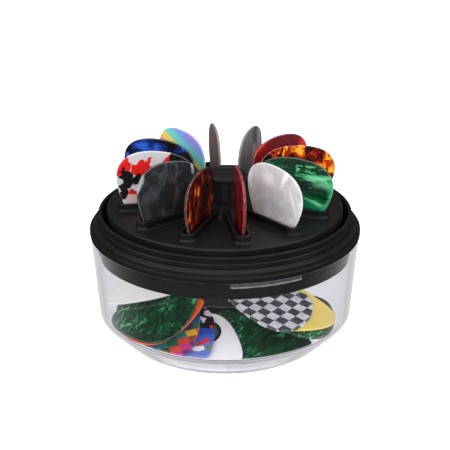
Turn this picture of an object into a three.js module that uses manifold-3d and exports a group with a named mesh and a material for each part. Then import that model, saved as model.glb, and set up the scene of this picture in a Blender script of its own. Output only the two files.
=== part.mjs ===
// Countertop pick holder: a clear drafted tub for loose guitar picks, closed by a black quarter-twist lid.
// A carousel turns in the lid on a centre pivot and holds twelve picks upright in collared slots.
// Millimetres, +Z up, origin at the centre of the foot's underside. Azimuth 0 faces -Y, 90 faces +X.
import * as THREE from 'three';
import { mergeVertices } from 'three/addons/utils/BufferGeometryUtils.js';
import Module from 'manifold-3d';

const wasm = await Module();
wasm.setup();

// ---------------------------------------------------------------- driving dimensions
const GAP = 0.3;                 // clearance kept between neighbouring pieces
const ROUND_STEPS = 60;          // facets round the big turned pieces
const SMALL_STEPS = 32;          // facets round the pivot hardware

const TUB = {
  footRadius: 35, cornerRadius: 42.8, cornerHeight: 8, rimRadius: 44.85, rimHeight: 36.2,
  wall: 1.9, floor: 2, recessRadius: 31, recessDepth: 0.6,
};
const LUG = { count: 3, firstAzimuth: 17.5, span: 31, low: 34, high: 35.5, innerRadius: 42.15 };

const LID = {
  flangeRadius: 45.07, flangeLow: TUB.rimHeight + GAP, flangeHigh: 38, skirtRadius: 41.9, skirtLow: 29.8,
  ridgeRadius: 43.1, ridgeHeight: 39.9, lipRadius: 42.07, lipInner: 40.8, lipHeight: 43.45,
  deck: 31.2, wellRadius: 40.4,
};
const LIP = { span: 12, azimuthAfterLug: 26.5, low: 32.4, high: 33.5, outerRadius: 42.4 };

const PIVOT = {
  bossRadius: 4, bossHeight: 45.3, screwRadius: 1.5, screwLow: 37.5, boreRadius: 1.75, boreLow: 36,
  shelfLow: 46.5, shelfHigh: 48, shelfHole: 1.9, headRadius: 3, headHeight: 1.65,
};

const DISC = {
  radius: 39.2, borderRadius: 38.6, high: 45, edgeHigh: 44.4, low: 43.4, rimInner: 37.6, rimLow: 41.6,
};
const COLUMN = { radius: 5.7, grooveRadius: 5, boreRadius: 3.7, high: 53.9, ribs: 6, firstRib: 30, ribSpan: 30 };
const CAP = { radius: 6.9, topRadius: 6.2, low: COLUMN.high + GAP, edgeHigh: 55.1, high: 56.1, dish: 0.45 };

// The pulls are the lengths of the outline's curve handles, as shares of the half width, depth or length.
const PICK = {
  width: 26, length: 30.5, widest: 8.8, thickness: 0.8, topPull: 0.6, shoulderPull: 0.3, sidePull: 0.22, tipPull: 0.2,
};
const SLOTS = { count: 12, firstAzimuth: 9.55, centreRadius: 23.86, opening: 3, clearance: 0.3 };
const COLLAR = { width: 5.2, outerRadius: 35.6, high: 47.5 };
const SHEATH = { width: 5, wall: 1.3 };
const PICK_TOP = 64.6;           // top of a pick standing square in its slot

// How each upright pick happens to stand, slot by slot. rise: mm above PICK_TOP; tilt: degrees, positive with its
// tip swung outwards; yaw: degrees about its own upright line; aside: mm across the slot.
const DISPLAY_PICKS = [
  { name: 'red_pearl', color: 0xa01c24, rise: 0.4, tilt: 2, yaw: -2, aside: 0.4 },
  { name: 'white_pearl', color: 0xe6e6e8, rise: -0.1, tilt: -3, yaw: -1, aside: 0.3 },
  { name: 'green_pearl', color: 0x14683f, rise: -0.7, tilt: -2, yaw: 0, aside: -0.4 },
  { name: 'fire_shell', color: 0xa8480f, rise: -0.6, tilt: -3, yaw: 0, aside: -0.4 },
  { name: 'ruby', color: 0x8a1a20, rise: -0.7, tilt: -1, yaw: 2, aside: -0.4 },
  { name: 'smoke', color: 0x4c4f52, rise: -0.7, tilt: -1, yaw: 2, aside: -0.4 },
  { name: 'dark_shell', color: 0x3c2c26, rise: -0.2, tilt: -3, yaw: -1, aside: -0.4 },
  { name: 'rainbow', color: 0x7fb7d6, rise: 0, tilt: 1, yaw: -1, aside: -0.4 },
  { name: 'blue_pearl', color: 0x152452, rise: 0, tilt: 1, yaw: -1, aside: -0.4 },
  { name: 'camo_red', color: 0xd8d4d2, rise: 0, tilt: 8, yaw: 2, aside: 0.4 },
  { name: 'black_pearl', color: 0x3f4447, rise: 0.1, tilt: 8, yaw: 2, aside: 0.1 },
  { name: 'red_shell', color: 0x5e1d14, rise: -0.4, tilt: 1, yaw: 2, aside: 0.4 },
];

// ---------------------------------------------------------------- materials
function plastic(color, roughness = 0.4) {
  return new THREE.MeshStandardMaterial({ color, roughness, metalness: 0 });
}

function clearPlastic() {
  return new THREE.MeshStandardMaterial({
    color: 0xeeedf4, roughness: 0.05, metalness: 0, transparent: true, opacity: 0.3,
  });
}

function steel() {
  return new THREE.MeshStandardMaterial({ color: 0xb9bcc0, roughness: 0.35, metalness: 1 });
}

const BLACK = 0x1e1e1f;

// ---------------------------------------------------------------- geometry helpers
const radians = THREE.MathUtils.degToRad;

// Leaves one closed shell: shared vertices merged, collapsed triangles dropped, faces turned outwards.
function closed(geometry) {
  const bare = geometry.clone();
  bare.deleteAttribute('normal');
  bare.deleteAttribute('uv');
  const merged = mergeVertices(bare, 1e-4);
  const corners = merged.index.array;
  const position = merged.attributes.position;
  const kept = [];
  const [a, b, c] = [new THREE.Vector3(), new THREE.Vector3(), new THREE.Vector3()];
  let volume = 0;
  for (let i = 0; i < corners.length; i += 3) {
    const [ia, ib, ic] = [corners[i], corners[i + 1], corners[i + 2]];
    if (ia === ib || ib === ic || ic === ia) continue;
    kept.push(ia, ib, ic);
    a.fromBufferAttribute(position, ia);
    b.fromBufferAttribute(position, ib);
    c.fromBufferAttribute(position, ic);
    volume += a.dot(b.cross(c));
  }
  merged.setIndex(volume < 0 ? kept.reverse() : kept);
  return merged;
}

function toSolid(geometry) {
  const shell = closed(geometry);
  return new wasm.Manifold(new wasm.Mesh({
    numProp: 3,
    vertProperties: new Float32Array(shell.attributes.position.array),
    triVerts: new Uint32Array(shell.index.array),
  }));
}

function toGeometry(solid) {
  const mesh = solid.getMesh();
  const geometry = new THREE.BufferGeometry();
  geometry.setAttribute('position', new THREE.BufferAttribute(new Float32Array(mesh.vertProperties), 3));
  geometry.setIndex(Array.from(mesh.triVerts));
  return geometry;
}

// Turns a closed outline of [radius, height] pairs about the Z axis.
function turned(outline, steps = ROUND_STEPS) {
  const first = outline[0];
  const last = outline[outline.length - 1];
  const ring = outline.map(([r, z]) => new THREE.Vector2(r, z));
  if (first[0] > 0 || last[0] > 0) ring.push(new THREE.Vector2(...first));
  return closed(new THREE.LatheGeometry(ring, steps).rotateX(Math.PI / 2));
}

// Raises a flat outline of [x, y] points from height low to height high.
function raised(points, low, high) {
  const shape = new THREE.Shape(points.map(([x, y]) => new THREE.Vector2(x, y)));
  const geometry = new THREE.ExtrudeGeometry(shape, { depth: high - low, bevelEnabled: false });
  return geometry.translate(0, 0, low);
}

// A point on a circle: azimuth 0 faces -Y and grows towards +X.
function onCircle(radius, azimuth) {
  return [radius * Math.sin(radians(azimuth)), -radius * Math.cos(radians(azimuth))];
}

// A block bent round the Z axis, centred on an azimuth.
function arcBlock(inner, outer, azimuth, span, low, high) {
  const steps = Math.max(3, Math.round(span / 5));
  const angles = Array.from({ length: steps + 1 }, (_, i) => azimuth - span / 2 + (span * i) / steps);
  const outside = angles.map((angle) => onCircle(outer, angle));
  const inside = angles.map((angle) => onCircle(inner, angle)).reverse();
  return raised([...outside, ...inside], low, high);
}

function piece(name, geometry, material) {
  const mesh = new THREE.Mesh(geometry, material);
  mesh.name = name;
  return mesh;
}

function aroundAxis(count, firstAzimuth) {
  return Array.from({ length: count }, (_, i) => firstAzimuth + (360 * i) / count);
}

// ---------------------------------------------------------------- guitar pick
// Outline of a pick, tip down, with its top edge at y = 0; grow widens it evenly on all sides.
function pickOutline(grow = 0, steps = 7) {
  const half = PICK.width / 2 + grow;
  const top = grow;
  const tip = -PICK.length - grow;
  const crown = half * PICK.topPull;
  const shoulder = -PICK.widest * PICK.shoulderPull;
  const side = -PICK.widest - PICK.length * PICK.sidePull;
  const point = half * PICK.tipPull;
  const shape = new THREE.Shape();
  shape.moveTo(0, top);
  shape.bezierCurveTo(crown, top, half, shoulder, half, -PICK.widest);
  shape.bezierCurveTo(half, side, point, tip, 0, tip);
  shape.bezierCurveTo(-point, tip, -half, side, -half, -PICK.widest);
  shape.bezierCurveTo(-half, shoulder, -crown, top, 0, top);
  const points = shape.getPoints(steps);
  return points.slice(0, -1).map(({ x, y }) => [x, y]);
}

// A plate with the pick's outline, lying flat and centred on its thickness.
function pickPlate() {
  return closed(raised(pickOutline(), -PICK.thickness / 2, PICK.thickness / 2));
}

// A pick's grown outline as it stands in its slot: [distance out from the slot's centre, height] points.
function standingOutline(grow, { rise, tilt }) {
  const middle = -PICK.length / 2;
  const [cosine, sine] = [Math.cos(radians(tilt)), Math.sin(radians(tilt))];
  return pickOutline(grow).map(([x, y]) => [
    x * cosine - (y - middle) * sine,
    x * sine + (y - middle) * cosine + PICK_TOP + middle + rise,
  ]);
}

// An upright plate with such an outline, in the radial plane of one slot.
function standUp(outline, width, azimuth, yaw = 0, aside = 0) {
  const plate = closed(raised(outline, -width / 2, width / 2));
  plate.rotateX(Math.PI / 2).rotateZ(radians(yaw)).translate(SLOTS.centreRadius, aside, 0);
  return plate.rotateZ(radians(azimuth - 90));
}

// The part of a closed outline of [x, y] points that lies below a height.
function below(outline, cut) {
  const kept = [];
  outline.forEach((point, i) => {
    const next = outline[(i + 1) % outline.length];
    if (point[1] <= cut) kept.push(point);
    if ((point[1] - cut) * (next[1] - cut) < 0) {
      const share = (cut - point[1]) / (next[1] - point[1]);
      kept.push([point[0] + share * (next[0] - point[0]), cut]);
    }
  });
  return kept;
}

// The part of a pick's grown standing outline below a height, as an upright plate of a given width.
function slotPlate(grow, width, topHeight, pick, azimuth) {
  return standUp(below(standingOutline(grow, pick), topHeight), width, azimuth);
}

// ---------------------------------------------------------------- tub
function tub() {
  const { footRadius, cornerRadius, cornerHeight, rimRadius, rimHeight, wall, floor } = TUB;
  const round = 0.6;
  const outside = [
    [0, TUB.recessDepth], [TUB.recessRadius, TUB.recessDepth], [TUB.recessRadius + round, 0],
    [footRadius - round, 0], [footRadius, round / 2], [cornerRadius - round, cornerHeight - round],
    [cornerRadius, cornerHeight + round], [rimRadius, rimHeight - round / 2], [rimRadius - round / 2, rimHeight],
  ];
  const inside = [
    [rimRadius - wall, rimHeight], [cornerRadius - wall, cornerHeight + 2 * round],
    [cornerRadius - wall - round, cornerHeight], [footRadius - round, floor + round / 2],
    [footRadius - 2 * round, floor], [0, floor],
  ];
  let solid = toSolid(turned([...outside, ...inside]));
  for (const azimuth of aroundAxis(LUG.count, LUG.firstAzimuth)) {
    const rootRadius = rimRadius - wall / 2;
    solid = solid.add(toSolid(arcBlock(LUG.innerRadius, rootRadius, azimuth, LUG.span, LUG.low, LUG.high)));
  }
  return piece('tub', toGeometry(solid), clearPlastic());
}

// ---------------------------------------------------------------- lid
function lid() {
  const edge = 0.3;
  const bottom = [
    [0, LID.skirtLow], [LID.skirtRadius - 2 * edge, LID.skirtLow], [LID.skirtRadius, LID.skirtLow + 2 * edge],
    [LID.skirtRadius, LID.flangeLow],
  ];
  const flange = [
    [LID.flangeRadius - edge, LID.flangeLow], [LID.flangeRadius, LID.flangeLow + edge],
    [LID.flangeRadius, LID.flangeHigh - edge / 2], [LID.flangeRadius - edge, LID.flangeHigh],
  ];
  const ridge = [
    [LID.ridgeRadius + 0.95, LID.flangeHigh + 0.1], [LID.ridgeRadius + 0.7, LID.flangeHigh + 0.5],
    [LID.ridgeRadius + 0.55, LID.ridgeHeight - 0.5], [LID.ridgeRadius + 0.2, LID.ridgeHeight - 0.1],
    [LID.ridgeRadius - 0.2, LID.ridgeHeight], [LID.lipRadius - edge, LID.ridgeHeight + 0.35],
  ];
  const lip = [
    [LID.lipRadius - edge, LID.ridgeHeight + 0.7], [LID.lipRadius, LID.ridgeHeight + 1.1],
    [LID.lipRadius, LID.lipHeight - edge], [LID.lipRadius - edge, LID.lipHeight],
    [LID.lipInner + edge / 2, LID.lipHeight], [LID.lipInner, LID.lipHeight - edge],
  ];
  const well = [
    [LID.wellRadius, LID.deck + edge], [LID.wellRadius - edge, LID.deck], [PIVOT.bossRadius + edge, LID.deck],
    [PIVOT.bossRadius, LID.deck + edge], [PIVOT.bossRadius, PIVOT.bossHeight],
    [PIVOT.boreRadius, PIVOT.bossHeight], [PIVOT.boreRadius, PIVOT.boreLow], [0, PIVOT.boreLow],
  ];
  let solid = toSolid(turned([...bottom, ...flange, ...ridge, ...lip, ...well]));
  for (const azimuth of aroundAxis(LUG.count, LUG.firstAzimuth + LIP.azimuthAfterLug)) {
    const rootRadius = LID.skirtRadius - edge;
    solid = solid.add(toSolid(arcBlock(rootRadius, LIP.outerRadius, azimuth, LIP.span, LIP.low, LIP.high)));
  }
  return piece('lid', toGeometry(solid), plastic(BLACK));
}

// ---------------------------------------------------------------- carousel
function carouselDisc() {
  const socketRadius = PIVOT.bossRadius + GAP;
  const hubLow = LID.deck + 5 * GAP;
  const hubRadius = socketRadius + 1.9;
  return turned([
    [socketRadius, hubLow], [hubRadius, hubLow], [hubRadius, DISC.low], [DISC.rimInner, DISC.low],
    [DISC.rimInner, DISC.rimLow], [DISC.radius, DISC.rimLow], [DISC.radius, DISC.edgeHigh],
    [DISC.borderRadius, DISC.high], [COLUMN.grooveRadius, DISC.high], [COLUMN.grooveRadius, COLUMN.high],
    [COLUMN.boreRadius, COLUMN.high], [COLUMN.boreRadius, PIVOT.shelfHigh],
    [PIVOT.shelfHole, PIVOT.shelfHigh], [PIVOT.shelfHole, PIVOT.shelfLow], [socketRadius, PIVOT.shelfLow],
  ]);
}

// Raised rim round one slot: a long bar from the hub with a half-round outer end.
function collarBar(azimuth) {
  const half = COLLAR.width / 2;
  const endCentre = COLLAR.outerRadius - half;
  const end = Array.from({ length: 9 }, (_, i) => {
    const turn = -Math.PI / 2 + (Math.PI * i) / 8;
    return [endCentre + half * Math.cos(turn), half * Math.sin(turn)];
  });
  const startRadius = COLUMN.boreRadius + 0.8;
  const bar = raised([[startRadius, -half], ...end, [startRadius, half]], DISC.low + 0.4, COLLAR.high);
  return bar.rotateZ(radians(azimuth - 90));
}

function carousel() {
  let solid = toSolid(carouselDisc());
  for (const azimuth of aroundAxis(COLUMN.ribs, COLUMN.firstRib)) {
    const rib = arcBlock(COLUMN.boreRadius + 0.5, COLUMN.radius, azimuth, COLUMN.ribSpan, DISC.low + 0.2, COLUMN.high);
    solid = solid.add(toSolid(rib));
  }
  const slotAzimuths = aroundAxis(SLOTS.count, SLOTS.firstAzimuth);
  slotAzimuths.forEach((azimuth, i) => {
    const sheath = slotPlate(SHEATH.wall, SHEATH.width, DISC.high - 0.6, DISPLAY_PICKS[i], azimuth);
    solid = solid.add(toSolid(collarBar(azimuth))).add(toSolid(sheath));
  });
  const socket = turned([
    [0, LID.deck], [PIVOT.bossRadius + GAP, LID.deck], [PIVOT.bossRadius + GAP, PIVOT.shelfLow], [0, PIVOT.shelfLow],
  ], SMALL_STEPS);
  solid = solid.subtract(toSolid(socket));
  slotAzimuths.forEach((azimuth, i) => {
    const cavity = slotPlate(SLOTS.clearance, SLOTS.opening, COLLAR.high + 1, DISPLAY_PICKS[i], azimuth);
    solid = solid.subtract(toSolid(cavity));
  });
  return piece('carousel', toGeometry(solid), plastic(BLACK));
}

function hubCap() {
  const stemRadius = COLUMN.boreRadius - GAP;
  const stemLow = CAP.low - 3.2;
  const outline = [
    [0, stemLow], [stemRadius, stemLow], [stemRadius, CAP.low], [CAP.radius, CAP.low], [CAP.radius, CAP.edgeHigh],
    [CAP.topRadius, CAP.high], [CAP.topRadius - 0.8, CAP.high], [CAP.topRadius - 1.6, CAP.high - CAP.dish],
    [0, CAP.high - CAP.dish],
  ];
  return piece('hub_cap', turned(outline, SMALL_STEPS), plastic(BLACK));
}

// ---------------------------------------------------------------- pivot hardware
function ringWasher(name, inner, outer, low, high, material) {
  const outline = [[inner, low], [outer, low], [outer, high], [inner, high]];
  return piece(name, turned(outline, SMALL_STEPS), material);
}

function glideWasher() {
  const low = PIVOT.bossHeight + GAP * 0.8;
  const high = PIVOT.shelfLow - GAP * 0.8;
  return ringWasher('glide_washer', PIVOT.shelfHole, PIVOT.bossRadius - 0.1, low, high, plastic(0xe9e6dc));
}

function screwWasher() {
  const low = PIVOT.shelfHigh + 0.2;
  return ringWasher('screw_washer', PIVOT.screwRadius + 0.2, PIVOT.headRadius + 0.3, low, low + 0.5, steel());
}

function pivotScrew() {
  const { screwRadius, screwLow, headRadius, headHeight } = PIVOT;
  const headLow = PIVOT.shelfHigh + 0.9;
  const headTop = headLow + headHeight;
  const outline = [
    [0, screwLow], [screwRadius * 0.4, screwLow], [screwRadius, screwLow + 1.2], [screwRadius, headLow],
    [headRadius, headLow], [headRadius, headLow + headHeight * 0.45], [headRadius * 0.75, headTop - 0.15],
    [headRadius * 0.4, headTop], [0, headTop],
  ];
  let solid = toSolid(turned(outline, SMALL_STEPS));
  for (const turn of [0, 90]) {
    const blade = new THREE.BoxGeometry(2.8, 0.6, 1.8).translate(0, 0, headTop).rotateZ(radians(turn + 45));
    solid = solid.subtract(toSolid(blade));
  }
  return piece('pivot_screw', toGeometry(solid), steel());
}

// ---------------------------------------------------------------- picks
function displayPick(pick, azimuth) {
  const plate = standUp(standingOutline(0, pick), PICK.thickness, azimuth, pick.yaw, pick.aside);
  return piece(`display_pick_${pick.name}`, plate, plastic(pick.color, 0.15));
}

// Loose picks lie in the tub in two leaning stacks, with a few flat ones under them.
// Each stack's picks are parallel. lean: the way the stack faces; tilt: its slope off the floor;
// height: where its top layer's plane meets the axis.
const STACK_STEP = 1.3;
const STACKS = {
  left: { lean: -27.7, tilt: 8.8, height: 14.45 },
  right: { lean: 36.5, tilt: 9.2, height: 16.3 },
  floor: { lean: 0, tilt: 0, height: 5.5 },
};
const LOOSE_PICKS = [
  { name: 'sketch_white', color: 0xdedcda, stack: 'left', layer: -1.3, x: -27.8, y: 2.5, tip: 314 },
  { name: 'green', color: 0x14573a, stack: 'left', layer: 0, x: -21.4, y: -14.3, tip: 132 },
  { name: 'orange', color: 0xe5631c, stack: 'left', layer: 1, x: -20.9, y: -13.3, tip: 121 },
  { name: 'black', color: 0x232326, stack: 'left', layer: 2, x: -23.5, y: 0.8, tip: 174 },
  { name: 'rainbow_check', color: 0x9a7a34, stack: 'left', layer: 3, x: -18.7, y: -16.9, tip: 23 },
  { name: 'splash', color: 0x4a5ea8, stack: 'left', layer: 4, x: -13.6, y: -17.2, tip: 29 },
  { name: 'dot_white', color: 0xe2e1e0, stack: 'left', layer: 5, x: -6.2, y: -20.4, tip: 45 },
  { name: 'green_front', color: 0x125236, stack: 'left', layer: 6, x: 12.4, y: -19.5, tip: 75 },
  { name: 'checker', color: 0x8f9296, stack: 'right', layer: 0, x: 14.4, y: -11.7, tip: 249 },
  { name: 'yellow', color: 0xdcc348, stack: 'right', layer: 1, x: 22.4, y: -8.7, tip: 193 },
  { name: 'green_side', color: 0x125a38, stack: 'right', layer: 2, x: 21.9, y: -11.1, tip: 260 },
  { name: 'black_back', color: 0x1d1d20, stack: 'floor', layer: 0, x: -4, y: 13, tip: 290 },
  { name: 'green_back', color: 0x15603d, stack: 'floor', layer: 1, x: 9, y: 2, tip: 75 },
  { name: 'red_floor', color: 0xa31f2b, stack: 'floor', layer: 2, x: 0, y: -6, tip: 20 },
];

function loosePick({ name, color, stack, layer, x, y, tip }) {
  const { lean, tilt, height } = STACKS[stack];
  const facing = new THREE.Vector3(...onCircle(Math.sin(radians(tilt)), lean), Math.cos(radians(tilt)));
  const distance = height * facing.z - layer * STACK_STEP;
  const z = (distance - facing.x * x - facing.y * y) / facing.z;
  const plate = pickPlate().translate(0, PICK.length * 0.475, 0).rotateZ(radians(tip));
  const leanTurn = new THREE.Quaternion().setFromUnitVectors(new THREE.Vector3(0, 0, 1), facing);
  plate.applyQuaternion(leanTurn).translate(x, y, z);
  return piece(`loose_pick_${name}`, plate, plastic(color, 0.15));
}

// ---------------------------------------------------------------- assembly
const holder = new THREE.Group();
holder.add(tub(), lid(), carousel(), hubCap(), glideWasher(), screwWasher(), pivotScrew());
const slotAzimuths = aroundAxis(SLOTS.count, SLOTS.firstAzimuth);
DISPLAY_PICKS.forEach((pick, i) => holder.add(displayPick(pick, slotAzimuths[i])));
LOOSE_PICKS.forEach((pick) => holder.add(loosePick(pick)));

export default holder;
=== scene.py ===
"""Countertop pick holder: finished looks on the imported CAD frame.

Shapes are given in millimetres and scaled to metres as the meshes are made. Azimuth 0 faces -Y and
90 faces +X, as in the CAD. Every CAD node is replaced by a finer mesh of the same size and place.
"""

import math

import bmesh
import bpy
import numpy as np
from mathutils import Matrix, Vector


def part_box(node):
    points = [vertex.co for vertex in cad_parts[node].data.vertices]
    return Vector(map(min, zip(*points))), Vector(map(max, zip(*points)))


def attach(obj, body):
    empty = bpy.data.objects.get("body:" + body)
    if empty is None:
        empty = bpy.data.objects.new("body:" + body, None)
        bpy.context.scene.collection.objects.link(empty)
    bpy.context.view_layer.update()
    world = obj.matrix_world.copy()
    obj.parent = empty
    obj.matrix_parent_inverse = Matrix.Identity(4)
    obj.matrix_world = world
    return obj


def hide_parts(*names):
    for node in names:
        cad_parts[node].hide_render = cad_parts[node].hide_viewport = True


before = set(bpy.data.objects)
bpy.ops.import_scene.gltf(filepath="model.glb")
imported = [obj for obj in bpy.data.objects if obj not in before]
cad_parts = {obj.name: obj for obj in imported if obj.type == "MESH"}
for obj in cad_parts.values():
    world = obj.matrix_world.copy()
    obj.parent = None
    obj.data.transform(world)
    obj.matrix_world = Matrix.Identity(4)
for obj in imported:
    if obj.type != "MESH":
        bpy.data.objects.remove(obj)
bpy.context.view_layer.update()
MM = 0.001


# -------- outlines
def fillet(corners, steps):
    """Points along an open outline of (r, z, radius) corners, each corner rounded to its radius."""
    points = []
    last = len(corners) - 1
    for i, (r, z, radius) in enumerate(corners):
        here = Vector((r, z))
        if i in (0, last) or radius <= 0:
            points.append((r, z))
            continue
        back = Vector(corners[i - 1][:2]) - here
        ahead = Vector(corners[i + 1][:2]) - here
        angle = back.angle(ahead)
        cut = min(radius / math.tan(angle / 2), back.length * 0.49, ahead.length * 0.49)
        radius = cut * math.tan(angle / 2)
        start = here + back.normalized() * cut
        end = here + ahead.normalized() * cut
        middle = (back.normalized() + ahead.normalized()).normalized()
        centre = here + middle * (radius / math.sin(angle / 2))
        first = start - centre
        second = end - centre
        sweep = first.angle_signed(second) if first.length > 1e-9 else 0.0
        for k in range(steps + 1):
            turn = -sweep * k / steps
            x = first.x * math.cos(turn) - first.y * math.sin(turn)
            y = first.x * math.sin(turn) + first.y * math.cos(turn)
            points.append((centre.x + x, centre.y + y))
    return points


def azimuth_point(r, azimuth, z):
    a = math.radians(azimuth)
    return (r * math.sin(a), -r * math.cos(a), z)


# -------- meshes
# How many steps there are round each turned surface.
STEPS = {"large": 240, "column": 180, "cap": 120, "bore": 96, "hardware": 72}


def new_object(name, data):
    obj = bpy.data.objects.new(name, data)
    bpy.context.scene.collection.objects.link(obj)
    return obj


def mesh_object(name, points, faces):
    mesh = bpy.data.meshes.new(name)
    mesh.from_pydata([tuple(c * MM for c in p) for p in points], [], faces)
    mesh.validate()
    return new_object(name, mesh)


def rings_to_mesh(name, rings, closed_loop=False):
    """Joins rings of as many points each. A one-point ring is a pole, and open ends are capped."""
    points = []
    starts = []
    for ring in rings:
        starts.append(len(points))
        points.extend(ring)
    count = max(len(ring) for ring in rings)
    faces = []
    pairs = list(zip(range(len(rings) - 1), range(1, len(rings))))
    if closed_loop:
        pairs.append((len(rings) - 1, 0))
    for low, high in pairs:
        for i in range(count):
            j = (i + 1) % count
            if len(rings[low]) == 1:
                faces.append((starts[low], starts[high] + j, starts[high] + i))
            elif len(rings[high]) == 1:
                faces.append((starts[low] + i, starts[low] + j, starts[high]))
            else:
                faces.append((starts[low] + i, starts[low] + j, starts[high] + j, starts[high] + i))
    if not closed_loop:
        if len(rings[0]) > 1:
            faces.append(tuple(reversed(range(starts[0], starts[0] + count))))
        if len(rings[-1]) > 1:
            faces.append(tuple(range(starts[-1], starts[-1] + count)))
    return mesh_object(name, points, faces)


def even_azimuths(surface):
    count = STEPS[surface]
    return [360 * i / count for i in range(count)]


def lathe(name, outline, azimuths, radius_at=None):
    """Turns (r, z) points about Z. radius_at(point index, azimuth) may replace a point's radius."""
    rings = []
    for index, (r, z) in enumerate(outline):
        if r <= 1e-6:
            rings.append([(0, 0, z)])
            continue
        ring = []
        for azimuth in azimuths:
            radius = radius_at(index, azimuth) if radius_at else r
            ring.append(azimuth_point(r if radius is None else radius, azimuth, z))
        rings.append(ring)
    closed = outline[0][0] > 1e-6 and outline[-1][0] > 1e-6
    return rings_to_mesh(name, rings, closed_loop=closed)


def outward(obj):
    """Turns every face to look out of the solid."""
    mesh = bmesh.new()
    mesh.from_mesh(obj.data)
    bmesh.ops.remove_doubles(mesh, verts=mesh.verts, dist=1e-7)
    bmesh.ops.recalc_face_normals(mesh, faces=mesh.faces)
    mesh.to_mesh(obj.data)
    mesh.free()


def boolean(base, other, operation):
    """base joined with, or cut by, other, which is used up."""
    outward(other)
    modifier = base.modifiers.new("Boolean", "BOOLEAN")
    modifier.operation = operation
    modifier.solver = "MANIFOLD"
    modifier.object = other
    graph = bpy.context.evaluated_depsgraph_get()
    result = bpy.data.meshes.new_from_object(base.evaluated_get(graph), depsgraph=graph)
    base.modifiers.clear()
    base.data = result
    bpy.data.objects.remove(other)


def smooth(obj, sharp_degrees):
    obj.data.shade_smooth()
    obj.data.set_sharp_from_angle(angle=math.radians(sharp_degrees))
    modifier = obj.modifiers.new("Even shading", "WEIGHTED_NORMAL")
    modifier.keep_sharp = True
    modifier.weight = 80


def stand_in(obj, node, body, material):
    """obj takes the place of one CAD node."""
    obj.data.materials.clear()
    obj.data.materials.append(material)
    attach(obj, body)
    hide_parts(node)


def turned_part(name, node, body, material, outline, azimuths, sharp_degrees, radius_at=None):
    """A turned piece in the place of one CAD node."""
    obj = lathe(name, outline, azimuths, radius_at)
    outward(obj)
    smooth(obj, sharp_degrees)
    stand_in(obj, node, body, material)


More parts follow.
